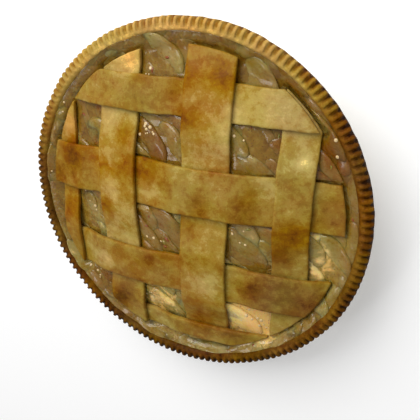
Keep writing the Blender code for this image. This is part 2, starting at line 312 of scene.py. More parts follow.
@dataclass
class Shading:
    """The nodes of one material, added one after another."""

    name: str
    material: bpy.types.Material = field(init=False)
    tree: bpy.types.NodeTree = field(init=False)
    surface: bpy.types.Node = field(init=False)
    place: bpy.types.NodeSocket = field(init=False)

    def __post_init__(self) -> None:
        """Starts a material with a Principled surface and object coordinates."""
        self.material = bpy.data.materials.new(self.name)
        self.material.use_nodes = True
        self.tree = self.material.node_tree
        self.surface = self.tree.nodes["Principled BSDF"]
        self.place = self.tree.nodes.new("ShaderNodeTexCoord").outputs["Object"]

    def _fill(self, socket: bpy.types.NodeSocket, value: object) -> None:
        """Links a socket to another one, or sets its value.

        Args:
            socket: The socket to fill.
            value: The other socket, or the value.
        """
        if isinstance(value, bpy.types.NodeSocket):
            self.tree.links.new(value, socket)
        else:
            socket.default_value = value

    def set(self, **values: object) -> None:
        """Sets or links the surface's sockets, named in lower case with underscores."""
        names = {socket.name.lower().replace(" ", "_"): socket for socket in self.surface.inputs}
        for key, value in values.items():
            self._fill(names[key], value)

    def attribute(self, name: str) -> bpy.types.NodeSocket:
        """Reads a number that the piece carries on its vertices.

        Args:
            name: The attribute's name.

        Returns:
            The number, or 0 on a piece without it.
        """
        node = self.tree.nodes.new("ShaderNodeAttribute")
        node.attribute_name = name
        return node.outputs["Fac"]

    def noise(self, size: float, detail: float = 3.0, distortion: float = 0.0) -> bpy.types.NodeSocket:
        """Soft cloudy noise from 0 to 1.

        Args:
            size: How far apart its clouds are.
            detail: How many finer layers it has.
            distortion: How much it swirls.

        Returns:
            The noise's value.
        """
        node = self.tree.nodes.new("ShaderNodeTexNoise")
        self._fill(node.inputs["Vector"], self.place)
        self._fill(node.inputs["Scale"], 1 / size)
        self._fill(node.inputs["Detail"], detail)
        self._fill(node.inputs["Distortion"], distortion)
        return node.outputs["Fac"]

    def math(self, operation: str, first: object, second: object) -> bpy.types.NodeSocket:
        """Does one sum on two numbers or sockets.

        Args:
            operation: Blender's name for the sum.
            first: Its first number.
            second: Its second number.

        Returns:
            The result.
        """
        node = self.tree.nodes.new("ShaderNodeMath")
        node.operation = operation
        self._fill(node.inputs[0], first)
        self._fill(node.inputs[1], second)
        return node.outputs[0]

    def times(self, value: object, factor: float) -> bpy.types.NodeSocket:
        """A value times a number."""
        return self.math("MULTIPLY", value, factor)

    def add(self, first: object, *others: object) -> bpy.types.NodeSocket:
        """Adds up numbers or sockets, one after another.

        Args:
            first: The first one.
            *others: Those that are added to it.

        Returns:
            The sum.
        """
        for other in others:
            first = self.math("ADD", first, other)
        return first

    def spread(
        self,
        value: bpy.types.NodeSocket,
        low: float,
        high: float,
        to_low: float = 0.0,
        to_high: float = 1.0,
    ) -> bpy.types.NodeSocket:
        """Stretches the part of a value between two limits to another range, smoothly.

        Args:
            value: The value to stretch.
            low: The lower limit.
            high: The upper limit.
            to_low: What the lower limit becomes.
            to_high: What the upper limit becomes.

        Returns:
            The stretched value.
        """
        node = self.tree.nodes.new("ShaderNodeMapRange")
        node.interpolation_type = "SMOOTHSTEP"
        for key, number in (("From Min", low), ("From Max", high), ("To Min", to_low), ("To Max", to_high)):
            node.inputs[key].default_value = number
        self._fill(node.inputs["Value"], value)
        return node.outputs["Result"]

    def total(self, *parts: tuple[bpy.types.NodeSocket, float]) -> bpy.types.NodeSocket:
        """Adds up values round their middle of 0.5, each times its own weight.

        Args:
            *parts: Pairs of a value and its weight.

        Returns:
            The sum, which is 0 where every value is 0.5.
        """
        result = None
        for value, weight in parts:
            node = self.tree.nodes.new("ShaderNodeMath")
            node.operation = "MULTIPLY_ADD"
            self._fill(node.inputs[0], value)
            node.inputs[1].default_value = weight
            node.inputs[2].default_value = -0.5 * weight
            result = node.outputs[0] if result is None else self.add(result, node.outputs[0])
        return result

    def ramp(self, value: bpy.types.NodeSocket, stops: Stops) -> bpy.types.NodeSocket:
        """Turns a value into a colour.

        Args:
            value: The value, from 0 to 1.
            stops: Values and their colours, in order.

        Returns:
            The colour.
        """
        node = self.tree.nodes.new("ShaderNodeValToRGB")
        node.color_ramp.interpolation = "EASE"
        elements = node.color_ramp.elements
        while len(elements) < len(stops):
            elements.new(0.5)
        for element, (position, colour) in zip(elements, stops):
            element.position = position
            element.color = colour
        self._fill(node.inputs["Fac"], value)
        return node.outputs["Color"]

    def mix(self, share: object, first: object, second: object) -> bpy.types.NodeSocket:
        """Mixes two colours.

        Args:
            share: How much of the second colour there is, from 0 to 1.
            first: The first colour.
            second: The second colour.

        Returns:
            The colour between them.
        """
        node = self.tree.nodes.new("ShaderNodeMix")
        node.data_type = "RGBA"
        self._fill(node.inputs["Factor"], share)
        self._fill(node.inputs[6], first)
        self._fill(node.inputs[7], second)
        return node.outputs[2]

    def warmer(self, colour: object, hue: object, richness: object) -> bpy.types.NodeSocket:
        """Turns a colour's hue and makes it paler or richer.

        Args:
            colour: The colour.
            hue: Below 0.5 it is redder, above 0.5 it is yellower.
            richness: Below 1 it is greyer, above 1 it is richer.

        Returns:
            The changed colour.
        """
        node = self.tree.nodes.new("ShaderNodeHueSaturation")
        self._fill(node.inputs["Hue"], hue)
        self._fill(node.inputs["Saturation"], richness)
        self._fill(node.inputs["Color"], colour)
        return node.outputs["Color"]

    def bump(self, height: bpy.types.NodeSocket, distance: float, strength: float = 1.0) -> None:
        """Raises the surface by a height, on top of what it has already.

        Args:
            height: The height, from 0 to 1.
            distance: What a height of 1 stands for.
            strength: How much of it is shown.
        """
        node = self.tree.nodes.new("ShaderNodeBump")
        node.inputs["Strength"].default_value = strength
        node.inputs["Distance"].default_value = distance
        self._fill(node.inputs["Height"], height)
        links = self.surface.inputs["Normal"].links
        if links:
            self._fill(node.inputs["Normal"], links[0].from_socket)
        self._fill(self.surface.inputs["Normal"], node.outputs["Normal"])


@dataclass(frozen=True)
class BakedPastry:
    """Shortcrust washed with egg and baked: straw where it is pale, orange-brown where it is toasted."""

    name: str
    patch_size: float = 13 * MM
    blister_size: float = 3.6 * MM
    grain_size: float = 0.9 * MM
    patchiness: float = 0.5
    pale_hue: float = 0.5
    dark_hue: float = 0.5
    pale_richness: float = 1.0
    dark_richness: float = 1.0
    gloss: float = 0.06
    warmth_size: float = 31 * MM
    depth_size: float = 26 * MM
    stops: Stops = (
        (0.0, linear(246, 206, 122)),
        (0.13, linear(197, 167, 97)),
        (0.27, linear(178, 149, 79)),
        (0.42, linear(157, 123, 47)),
        (0.54, linear(142, 102, 29)),
        (0.68, linear(122, 79, 14)),
        (0.84, linear(93, 55, 5)),
        (1.0, linear(46, 24, 2)),
    )

    def material(self) -> bpy.types.Material:
        """Makes the finish, which reads how browned and how orange the pastry is from its attributes.

        Returns:
            The material.
        """
        shading = Shading(self.name)
        patches = shading.noise(self.patch_size, detail=3.0, distortion=0.6)
        blisters = shading.noise(self.blister_size, detail=3.0, distortion=0.3)
        freckles = shading.noise(self.blister_size * 1.7, detail=4.0)
        grain = shading.noise(self.grain_size, detail=2.0)
        warmth = shading.noise(self.warmth_size, detail=1.5)
        depth = shading.noise(self.depth_size, detail=2.0)
        orange = shading.attribute("orange")
        uneven = shading.total((patches, self.patchiness), (blisters, 0.32), (grain, 0.17))
        toasted = shading.spread(freckles, 0.6, 0.76, 0.0, 0.08)
        browning = shading.add(shading.attribute("browning"), uneven, toasted)
        hue = shading.add(
            shading.spread(warmth, 0.35, 0.65, 0.01, -0.006),
            shading.spread(browning, 0.1, 0.8, self.pale_hue, self.dark_hue),
            shading.times(orange, -0.008),
            shading.spread(freckles, 0.35, 0.65, 0.004, -0.004),
            shading.spread(uneven, -0.25, 0.25, 0.005, -0.007),
        )
        richness = shading.add(
            shading.spread(depth, 0.35, 0.65, -0.02, 0.02),
            shading.times(orange, 0.04),
            shading.spread(browning, 0.1, 0.6, self.pale_richness, self.dark_richness),
        )
        shading.set(
            base_color=shading.warmer(shading.ramp(browning, self.stops), hue, richness),
            roughness=shading.spread(browning, 0.2, 0.9, 0.36, 0.52),
            specular_ior_level=self.gloss,
            subsurface_weight=0.1,
            subsurface_radius=(0.004, 0.0022, 0.001),
            subsurface_scale=1.0,
            coat_weight=self.gloss / 2,
            coat_roughness=0.2,
        )
        shading.bump(blisters, 0.5 * MM, 0.6)
        shading.bump(grain, 0.16 * MM, 0.6)
        return shading.material


@dataclass(frozen=True)
class CookedApple:
    """Soft cooked apple, glossy with its own syrup."""

    name: str = "cooked_apple"
    fibre_size: float = 2.2 * MM
    cloud_size: float = 9 * MM
    pore_size: float = 0.6 * MM
    blush_size: float = 17 * MM
    stops: Stops = (
        (0.0, linear(104, 60, 12)),
        (0.25, linear(122, 82, 24)),
        (0.5, linear(137, 108, 44)),
        (0.75, linear(156, 136, 74)),
        # The lightest stop mostly serves the painted highlights on the brightest slices.
        (1.0, linear(255, 206, 128)),
    )

    def material(self) -> bpy.types.Material:
        """Makes the finish, which reads how light each slice is from the attribute `tone`.

        Returns:
            The material.
        """
        shading = Shading(self.name)
        clouds = shading.noise(self.cloud_size, detail=3.0, distortion=0.4)
        fibres = shading.noise(self.fibre_size, detail=3.0)
        pores = shading.noise(self.pore_size, detail=1.0)
        blush = shading.noise(self.blush_size, detail=2.0)
        tone = shading.add(shading.attribute("tone"), shading.total((clouds, 0.66), (fibres, 0.26)))
        hue = shading.spread(blush, 0.35, 0.65, 0.506, 0.488)
        richness = shading.spread(clouds, 0.3, 0.7, 1.07, 0.99)
        shading.set(
            base_color=shading.warmer(shading.ramp(tone, self.stops), hue, richness),
            roughness=shading.spread(fibres, 0.3, 0.7, 0.24, 0.38),
            specular_ior_level=0.25,
            subsurface_weight=0.55,
            subsurface_radius=(0.006, 0.0035, 0.0015),
            subsurface_scale=1.0,
            coat_weight=0.4,
            coat_roughness=0.08,
        )
        shading.bump(fibres, 0.4 * MM, 0.6)
        shading.bump(pores, 0.08 * MM, 0.4)
        return shading.material


@dataclass(frozen=True)
class AppleSyrup:
    """The thick brown syrup that the slices lie in."""

    name: str = "apple_syrup"
    cloud_size: float = 6 * MM
    ripple_size: float = 2.4 * MM
    spice_size: float = 1.1 * MM
    spice_colour: Colour = linear(84, 38, 12)
    stops: Stops = (
        (0.25, linear(108, 72, 12)),
        (0.5, linear(130, 96, 24)),
        (0.75, linear(150, 122, 48)),
        (1.0, linear(232, 186, 104)),
    )

    def material(self) -> bpy.types.Material:
        """Makes the finish, which reads how light the syrup is from the attribute `tone`.

        Returns:
            The material.
        """
        shading = Shading(self.name)
        clouds = shading.noise(self.cloud_size, detail=3.0, distortion=0.6)
        ripples = shading.noise(self.ripple_size, detail=1.0)
        spice = shading.noise(self.spice_size, detail=1.0)
        tone = shading.add(shading.attribute("tone"), shading.total((clouds, 0.9)))
        spiced = shading.spread(spice, 0.66, 0.72, 0.0, 0.7)
        shading.set(
            base_color=shading.mix(spiced, shading.ramp(tone, self.stops), self.spice_colour),
            roughness=0.24,
            specular_ior_level=0.3,
            subsurface_weight=0.55,
            subsurface_radius=(0.006, 0.003, 0.001),
            subsurface_scale=1.0,
            coat_weight=0.4,
            coat_roughness=0.08,
        )
        shading.bump(ripples, 0.6 * MM, 0.6)
        return shading.material


@dataclass(frozen=True)
class DishGlaze:
    """A warm white glaze over stoneware, left off the foot ring that the dish stands on."""

    name: str = "dish_glaze"
    bare_height: float = 1.0 * MM
    bare_edge: float = 0.3 * MM
    wave_size: float = 14 * MM
    speck_size: float = 1.6 * MM
    white: Colour = linear(244, 240, 230)
    cream: Colour = linear(236, 230, 216)
    speck_colour: Colour = linear(150, 124, 92)
    bare_colour: Colour = linear(206, 188, 158)

    def material(self) -> bpy.types.Material:
        """Makes the finish.

        Returns:
            The material.
        """
        shading = Shading(self.name)
        split = shading.tree.nodes.new("ShaderNodeSeparateXYZ")
        shading.tree.links.new(shading.place, split.inputs[0])
        wavy = shading.noise(self.wave_size, detail=2.0)
        specks = shading.noise(self.speck_size, detail=2.0)
        glaze = shading.mix(wavy, self.cream, self.white)
        speckled = shading.mix(shading.spread(specks, 0.7, 0.76, 0.0, 0.35), glaze, self.speck_colour)
        edge = shading.add(split.outputs["Z"], shading.times(wavy, 0.4 * MM))
        bare = shading.spread(edge, self.bare_height, self.bare_height + self.bare_edge, 1.0, 0.0)
        shading.set(
            base_color=shading.mix(bare, speckled, self.bare_colour),
            roughness=shading.add(shading.times(bare, 0.6), 0.16),
            coat_weight=0.4,
            coat_roughness=0.04,
        )
        shading.bump(wavy, 0.25 * MM, 0.4)
        return shading.material


@dataclass(frozen=True)
class Tint:
    """A small bit of one stuff, mottled between two colours."""

    name: str
    dark: Colour
    light: Colour
    roughness: float = 0.3
    mottle_size: float = 1.5 * MM

    def material(self) -> bpy.types.Material:
        """Makes the finish.

        Returns:
            The material.
        """
        shading = Shading(self.name)
        mottle = shading.noise(self.mottle_size, detail=2.0)
        colour = shading.mix(mottle, self.dark, self.light)
        shading.set(base_color=colour, roughness=self.roughness, coat_weight=0.3)
        shading.bump(mottle, 0.1 * MM, 0.4)
        return shading.material


# The pie


@dataclass(frozen=True)
class Crossing:
    """Where a strip meets another one: from and to along its length, and whether it lies on top."""

    start: float
    end: float
    over: bool


@dataclass(frozen=True)
class StripCut:
    """One strip of the lattice: its two edges, which way it runs and what it crosses."""

    name: str
    runs: RunsAlong
    low: float
    high: float
    tone: float
    crossings: tuple[Crossing, ...]


@dataclass(frozen=True)
class Weave:
    """The shallow dome that the strips are woven on, and how each strip goes over and under."""

    radius: float = 103.8 * MM
    edge_height: float = 38.5 * MM
    rise: float = 12.7 * MM
    thickness: float = 3.2 * MM
    clearance: float = 0.45 * MM
    level_margin: float = 2 * MM
    free_end: float = 8 * MM
    least_crossing: float = 1 * MM
    side_reach: float = 5 * MM
    side_gap: float = 0.3 * MM
    side_slope: float = 1.5
    mark_angle: float = math.radians(18)
    tones_y: tuple[float, ...] = (0.49, 0.335, 0.4, 0.405)
    tones_x: tuple[float, ...] = (0.415, 0.41, 0.445, 0.43)

    @property
    def offset(self) -> float:
        """How far a strip's middle is above the weave's where it lies on top of another."""
        return (self.thickness + self.clearance) / 2

    def height(self, x: float, y: float) -> float:
        """Height of the middle of the weave over a point."""
        return self.edge_height + self.rise * (1 - (x * x + y * y) / self.radius**2)

    def reach(self, across: float) -> float:
        """How far along a strip the circle that cuts it is, at a distance across the pie."""
        return math.sqrt(max(self.radius**2 - across**2, 0.0))

    def strips(self) -> list[StripCut]:
        """Lays out the strips between marks every 18 degrees round the circle, each with its own tone.

        Returns:
            The eight strips. One along Y passes over one along X where their numbers add up to even.
        """
        cuts = [self.radius * math.sin(self.mark_angle * k) for k in range(6)]
        edges_y = [(-cuts[4], -cuts[3]), (-cuts[2], -cuts[1]), (cuts[0], cuts[1]), (cuts[2], cuts[3])]
        edges_x = [(cuts[2], cuts[3]), (cuts[0], cuts[1]), (-cuts[2], -cuts[1]), (-cuts[4], -cuts[3])]
        made = []
        for runs, edges, others, tones in (
            (RunsAlong.Y, edges_y, edges_x, self.tones_y),
            (RunsAlong.X, edges_x, edges_y, self.tones_x),
        ):
            for k, (low, high) in enumerate(edges):
                near = min(abs(low), abs(high))
                met = [
                    Crossing(a, b, ((j + k) % 2 == 0) == (runs is RunsAlong.Y))
                    for j, (a, b) in enumerate(others)
                    if min(abs(a), abs(b)) < self.reach(near) - self.least_crossing
                ]
                met.sort(key=lambda crossing: crossing.start)
                name = f"strip_{runs.value}{k}"
                made.append(StripCut(name, runs, low, high, tones[k], tuple(met)))
        return made

    def lift(self, cut: StripCut, along: float) -> float:
        """How far a strip's middle is above the weave's at a place along it.

        Args:
            cut: The strip.
            along: The place along its length.

        Returns:
            The height above the middle of the weave.
        """
        reach = self.reach(min(abs(cut.low), abs(cut.high)))
        stops = [
            (c.start - self.level_margin, c.end + self.level_margin, self.offset if c.over else -self.offset)
            for c in cut.crossings
        ]
        if stops[0][0] + reach > self.free_end:
            stops.insert(0, (-reach, -reach, 0.0))
        if reach - stops[-1][1] > self.free_end:
            stops.append((reach, reach, 0.0))
        for (_, start, first), (end, _, second) in zip(stops, stops[1:]):
            if along <= start:
                return first
            if along < end:
                return first + (second - first) * smooth_step((along - start) / (end - start))
        return stops[-1][2]

    def room_under(self, cuts: list[StripCut], x: float, y: float) -> float:
        """Height up to which the filling is free at a point: under a strip or clear beside it.

        Args:
            cuts: The strips.
            x: The point's x.
            y: The point's y.

        Returns:
            The greatest height that the filling may have there.
        """
        limit = math.inf
        for cut in cuts:
            across, along = (x, y) if cut.runs is RunsAlong.Y else (y, x)
            beside = max(cut.low - across, across - cut.high, 0.0)
            if beside > self.side_reach:
                continue
            beyond = max(abs(along) - self.reach(min(max(across, cut.low), cut.high)), 0.0)
            clear = max(math.hypot(beside, beyond) - self.side_gap, 0.0)
            bottom = self.height(x, y) + self.lift(cut, along) - self.thickness / 2
            limit = min(limit, bottom + self.side_slope * clear)
        return limit


@dataclass(frozen=True)
class Patch:
    """A round patch that fades out from its middle, where a surface is browner, paler or lighter."""

    x: float
    y: float
    size: float
    strength: float

    def at(self, point: Vector) -> float:
        """How much the patch adds at a point."""
        return self.strength * bump_at(math.hypot(point.x - self.x, point.y - self.y), self.size)


def patches_at(*places: tuple[float, float, float, float]) -> list[Patch]:
    """Makes patches from their x, y and size in millimetres, and their strength."""
    return [Patch(x * MM, y * MM, size * MM, strength) for x, y, size, strength in places]


def total_at(patches: list[Patch], point: Vector) -> float:
    """How much all of the patches add at a point."""
    return sum(patch.at(point) for patch in patches)


@dataclass
class Lattice:
    """The woven pastry strips."""

    weave: Weave
    cuts: list[StripCut]
    column_count: int = 22
    row_length: float = 1.25 * MM
    side_gap: float = 0.3 * MM
    end_gap: float = 0.5 * MM
    waver_length: float = 14 * MM
    waver_depth: float = 0.5 * MM
    ragged_length: float = 2.5 * MM
    ragged_depth: float = 0.18 * MM
    edge_rounding: float = 1.6 * MM
    edge_share: float = 0.5
    blister_size: float = 7 * MM
    blister_depth: float = 0.7 * MM
    grain_size: float = 2.2 * MM
    grain_depth: float = 0.22 * MM
    edge_browning: float = 0.04
    raised_browning: float = 0.03
    orange_when_toasted: float = 2.6

    def patches(self) -> list[Patch]:
        """Lists the patches that stand out on the lattice, some of them painted light and shade.

        Returns:
            The toasted patches, and with a minus the pale ones; a few pale ones are painted highlights and a
            few dark ones partly painted shade.
        """
        return patches_at(
            (26, 88, 7, 0.24), (4, 92, 8, 0.16), (2, 62, 6, 0.22), (18, 50, 8, -0.1),
            # The first three here, a pale line along strip y2's right edge, are a painted highlight.
            (30.5, 66, 5, -0.14), (30.5, 57, 5, -0.16), (30.5, 48, 5, -0.14), (-85, 25, 9, 0.29),
            (-99, 8, 7, 0.26), (-21, 27, 9, 0.2), (15, 9, 8, 0.2), (42, 7, 12, 0.18),
            (7, 22, 8, -0.08), (-36, 27, 9, 0.16), (-50, 6, 8, -0.1), (-57, -6, 8, 0.18),
            (6, -7, 8, 0.2), (21, -53, 11, -0.2), (14, -76, 12, 0.2), (-21, -38, 9, 0.15),
            # The last two here, darker on strip x2's right, are partly painted shade.
            (-61, -53, 10, -0.18), (50, -46, 11, 0.18), (84, -50, 12, 0.2), (66, -48, 20, 0.14),
            # The first here, a pale spot on strip y3, is a painted highlight.
            (75.5, 43.5, 5, -0.28), (67, 50, 6, 0.12), (73, 0, 9, 0.24), (65, -18, 10, 0.27),
            # The first here, darker on strip y1's lower end, is partly painted shade; the last, the pale tip
            # of strip y1, is a painted highlight.
            (-53, -81, 10, 0.28), (36, -88, 12, 0.15), (-7, 75, 7, 0.14), (-40, 92, 11, -0.34),
            # The first here, the pale tip of strip y0, is a painted highlight.
            (-88, 46, 11, -0.34), (-41, 47, 7, 0.14), (-56, 55, 9, -0.05), (-42, 20, 8, 0.16),
            # The second here, pale on strip x0's right, is a painted highlight.
            (-57, -49, 7, -0.12), (58, 72, 24, -0.18), (-82, 16, 18, 0.08), (94, 16, 15, 0.2),
            # The first here, darker on strip y1's lower end, is partly painted shade.
            (-47, -72, 16, 0.32), (-30, 75, 24, 0.1),
        )

    def orange_patches(self) -> list[Patch]:
        """Lists where the pastry's hue differs from elsewhere, partly painted light and shade.

        Returns:
            The more orange patches, and with a minus the yellower ones.
        """
        return patches_at(
            (16, 76, 22, 1.4), (27, 88, 12, 1.2), (14, 46, 16, 0.6), (20, -30, 30, 0.4),
            # (-40, 92) and (-88, 46), the orange tips of strips y1 and y0, go with their painted highlights.
            (-46, 26, 30, 1.6), (-40, 92, 12, 3.4), (-91, -15, 20, 1.2), (-88, 46, 12, 3.0),
            (-86, 18, 16, 0.5), (72, -6, 18, 0.9), (60, 72, 22, -0.8), (-30, 72, 24, -1.2),
            (-15, -90, 25, -0.9), (42, -90, 14, -0.7), (72, 40, 16, -0.6), (94, 14, 14, -1.4),
            # (68, -47) and (-47, -72), yellower on strip x2's right and strip y1's lower end, partly paint
            # the duller hue of shade.
            (68, -47, 25, -2.0), (-47, -72, 16, -1.4), (0, 14, 26, -0.3),
        )

    def model(self, cut: StripCut, seed: int) -> bpy.types.Object:
        """Models one strip: a grid laid on the weave, thickened, and roughened all over.

        Args:
            cut: The strip.
            seed: Makes this strip's edges waver in their own way.

        Returns:
            The strip.
        """
        longest = self.weave.reach(min(abs(cut.low), abs(cut.high)))
        rows = round(2 * longest / self.row_length)
        deselect()
        bpy.ops.mesh.primitive_grid_add(x_subdivisions=rows, y_subdivisions=self.column_count, size=2)
        piece = bpy.context.object
        piece.name = cut.name + "_baked"
        middle, half = (cut.low + cut.high) / 2, (cut.high - cut.low) / 2 - self.side_gap
        body = piece.vertex_groups.new(name="body")
        for vertex in piece.data.vertices:
            share_along, share_across = vertex.co.x, math.sin(vertex.co.y * math.pi / 2)
            straight = middle + half * share_across
            along = (self.weave.reach(straight) - self.end_gap) * share_along
            waver = noise.noise(Vector((along / self.waver_length, seed * 7.3, share_across * 2)))
            ragged = noise.noise(Vector((along / self.ragged_length, seed * 3.1, share_across * 2)))
            uneven = self.waver_depth * waver + self.ragged_depth * ragged
            across = straight + uneven * abs(share_across)
            x, y = (across, -along) if cut.runs is RunsAlong.Y else (along, across)
            along_there = y if cut.runs is RunsAlong.Y else x
            vertex.co = (x, y, self.weave.height(x, y) + self.weave.lift(cut, along_there))
            from_end = self.row_length * 0.5 + longest * (1 - abs(share_along))
            from_edge = min(half * (1 - abs(share_across)), from_end)
            rounding = min(from_edge / self.edge_rounding, 1.0)
            fullness = self.edge_share + (1 - self.edge_share) * math.sqrt(1 - (1 - rounding) ** 2)
            body.add([vertex.index], fullness, "REPLACE")
        settings = {"thickness": self.weave.thickness, "offset": 0.0, "use_even_offset": False}
        apply_modifier(piece, "SOLIDIFY", vertex_group="body", **settings)
        roughen(piece, self.blister_size, self.blister_depth)
        roughen(piece, self.grain_size, self.grain_depth)
        return piece

    def browning(self, cut: StripCut, patches: list[Patch]) -> Callable[[Vector], float]:
        """How browned a strip is: its own tone and patches, and darker along its edges and where it rises.

        Args:
            cut: The strip.
            patches: The patches of the whole lattice.

        Returns:
            A function from a place to how browned the pastry is there.
        """
        middle, half = (cut.low + cut.high) / 2, (cut.high - cut.low) / 2

        def at(point: Vector) -> float:
            """How browned the strip is at a point."""
            across, along = (point.x, point.y) if cut.runs is RunsAlong.Y else (point.y, point.x)
            edge = rising(abs(across - middle) / half, 0.86, 0.14)
            raised = self.weave.lift(cut, along) / self.weave.offset
            own = cut.tone + total_at(patches, point)
            return own + self.edge_browning * edge + self.raised_browning * raised

        return at

    def orange(self, toasted: list[Patch], orange: list[Patch]) -> Callable[[Vector], float]:
        """How orange a strip is: more so where it is toasted.

        Args:
            toasted: The toasted and pale patches.
            orange: The patches that are more orange, or less, than their browning makes them.

        Returns:
            A function from a place to how orange the pastry is there.
        """

        def at(point: Vector) -> float:
            """How orange the strip is at a point."""
            extra = max(total_at(toasted, point), 0.0)
            return total_at(orange, point) + self.orange_when_toasted * extra

        return at

    def build(self) -> None:
        """Builds and dresses the eight strips."""
        finish = BakedPastry("lattice_pastry").material()
        patches = self.patches()
        orange = self.orange_patches()
        for seed, cut in enumerate(self.cuts):
            piece = self.model(cut, seed)
            write_attribute(piece, "browning", self.browning(cut, patches))
            write_attribute(piece, "orange", self.orange(patches, orange))
            dress(piece, finish, "lattice_crust", cut.name)


@dataclass
class PastryCase:
    """The crust: it lines the dish, lies on its lip and ends in a rim marked by a fork."""

    rim_radius: float = 120 * MM
    edge_height: float = 39.5 * MM
    lip_top: float = 36.4 * MM
    inner_foot: float = 37.4 * MM
    bottom: float = 5.4 * MM
    floor_top: float = 9.9 * MM
    crown_half_width: float = 4.5 * MM
    crown_rise: float = 3.6 * MM
    mark_count: int = 156
    facets_per_mark: int = 8
    mark_depth: float = 1.6 * MM
    marked_from: float = 112.9 * MM
    wave_size: float = 26 * MM
    ragged_size: float = 5.2 * MM
    # The rim is palest on the key lamp's side and darker away from it: partly browning and partly painted
    # light and shade.
    palest_turn: float = math.radians(102)
    tempered_turn: float = math.radians(305)

    def outline(self) -> list[tuple[float, float]]:
        """Draws the crust's section.

        Returns:
            Radius and height of its points, from the axis on the underside out over the rim and back inside.
        """
        crown = (self.rim_radius - self.crown_half_width, self.edge_height)
        edge = (self.rim_radius - 2.6 * MM, self.lip_top + 1.6 * MM)
        under = [(0.0, self.bottom), (81.6 * MM, self.bottom), (87.6 * MM, 9.4 * MM), (105.9 * MM, 34.0 * MM)]
        lip = [(108.2 * MM, self.lip_top), (115.4 * MM, self.lip_top)]
        overhang = arc(edge, (2.4 * MM, 2.1 * MM), -80, -20, 3)
        rim = arc(crown, (self.crown_half_width, self.crown_rise), 2, 176, 20)
        wall = [(107.5 * MM, self.inner_foot), (101.4 * MM, 33.6 * MM), (83.2 * MM, 11.6 * MM)]
        floor = [(77.1 * MM, self.floor_top), (0.0, self.floor_top)]
        return under + lip + overhang + rim + wall + floor

    def press_marks(self, piece: bpy.types.Object) -> None:
        """Presses the fork's marks into the rim: deep at its outer edge and gone inside its crown.

        Args:
            piece: The plain turned crust.
        """
        steps = self.mark_count * self.facets_per_mark
        across_mark = {0: 1.0, 1: 0.8, 2: 0.25, self.facets_per_mark - 2: 0.25, self.facets_per_mark - 1: 0.8}
        bands = ((0.0, 0.25), (1.2 * MM, 0.35), (2.8 * MM, 0.4))
        for facet, share in across_mark.items():
            for further_out, part in bands:
                inner = self.marked_from + further_out

                def wanted(place: Vector, facet: int = facet, inner: float = inner) -> bool:
                    """Says whether a place is on this facet of a mark, and as far out as this band."""
                    turn = math.atan2(place.y, place.x) / (2 * math.pi) * steps
                    on_mark = round(turn) % self.facets_per_mark == facet
                    return on_mark and math.hypot(place.x, place.y) > inner and place.z > self.inner_foot

                select_vertices(piece, wanted)
                bpy.context.view_layer.objects.active = piece
                bpy.ops.object.mode_set(mode="EDIT")
                bpy.ops.transform.shrink_fatten(value=-self.mark_depth * share * part)
                bpy.ops.object.mode_set(mode="OBJECT")

    def loosen(self, piece: bpy.types.Object) -> None:
        """Makes the rim uneven: each mark a little deeper or shallower, and the edge a little wavy.

        Args:
            piece: The marked crust.
        """
        for vertex in piece.data.vertices:
            radius = math.hypot(vertex.co.x, vertex.co.y)
            share = rising(radius, 109 * MM, 6 * MM) * rising(vertex.co.z, 35 * MM, 3 * MM)
            if share <= 0:
                continue
            outward = Vector((vertex.co.x, vertex.co.y, 0)) / radius
            slow = noise.noise(vertex.co / self.wave_size)
            quick = noise.noise(vertex.co / self.ragged_size + Vector((9, 4, 1)))
            vertex.co += share * (outward * (0.5 * slow + 0.35 * quick) * MM - outward * 0.35 * MM)
            vertex.co.z += share * (0.45 * slow - 0.35 * quick - 0.2) * MM

    def browning(self, place: Vector) -> float:
        """How browned the crust is, partly painted shade: pale at the back, and darker in front, in the marks
        and low outside.

        Args:
            place: A place on the crust.

        Returns:
            How browned it is there.
        """
        radius = math.hypot(place.x, place.y)
        turn = math.atan2(place.y, place.x)
        phase = (turn / (2 * math.pi) * self.mark_count) % 1.0
        in_mark = bump_at(min(phase, 1 - phase), 0.24)
        outer = rising(radius, 112.6 * MM, 4.5 * MM)
        inner = rising(radius, 114.2 * MM, -2 * MM)
        low = rising(place.z, 40.8 * MM, -3 * MM) * rising(radius, 116.5 * MM, 2.5 * MM)
        strong = 0.8 + 0.4 * noise.noise(place / (17 * MM))
        # Darker away from the palest turn: partly browning, and partly painted shade on the side turned from
        # the key lamp.
        browned_and_shaded = smooth_step(1.2 * (1 - math.cos(turn - self.palest_turn)))
        # The marks are darkened: partly browning, and partly painted shadow in their grooves.
        marked = (0.5 - 0.2 * browned_and_shaded) * in_mark * outer * strong
        # Darker in front, away from the key lamp, eased near the tempered turn: partly painted shade.
        in_front = 0.1 * rising(-math.sin(turn), 0.6, 0.4) - 0.05 * math.cos(turn - self.tempered_turn)
        # The inner flank next to the filling is darker still: partly painted shade.
        return 0.01 + (0.72 + 0.08 * inner) * browned_and_shaded + in_front + 0.08 * outer + 0.2 * low + marked

    def build(self) -> None:
        """Builds and dresses the crust."""
        piece = turned("crust_baked", self.outline(), self.mark_count * self.facets_per_mark)
        self.press_marks(piece)
        self.loosen(piece)
        write_attribute(piece, "browning", self.browning)
        finish = BakedPastry(
            "rim_pastry",
            patch_size=15 * MM,
            pale_hue=0.489,
            dark_hue=0.501,
            pale_richness=1.08,
            dark_richness=0.99,
            gloss=0.03,
        )
        dress(piece, finish.material(), "rim_crust", "pastry_case")


@dataclass(frozen=True)
class SlicePlace:
    """How one slice lies in the filling.

    Its place and its turn are seen from above, and its scale is next to the master slice. Its lean is how
    steeply it leans across its width, its depth is from the top of the filling down to its own top, and
    its tone is how light it is.
    """

    place: Vector
    turn: float
    scale: Vector
    lean: float
    depth: float
    tone: float


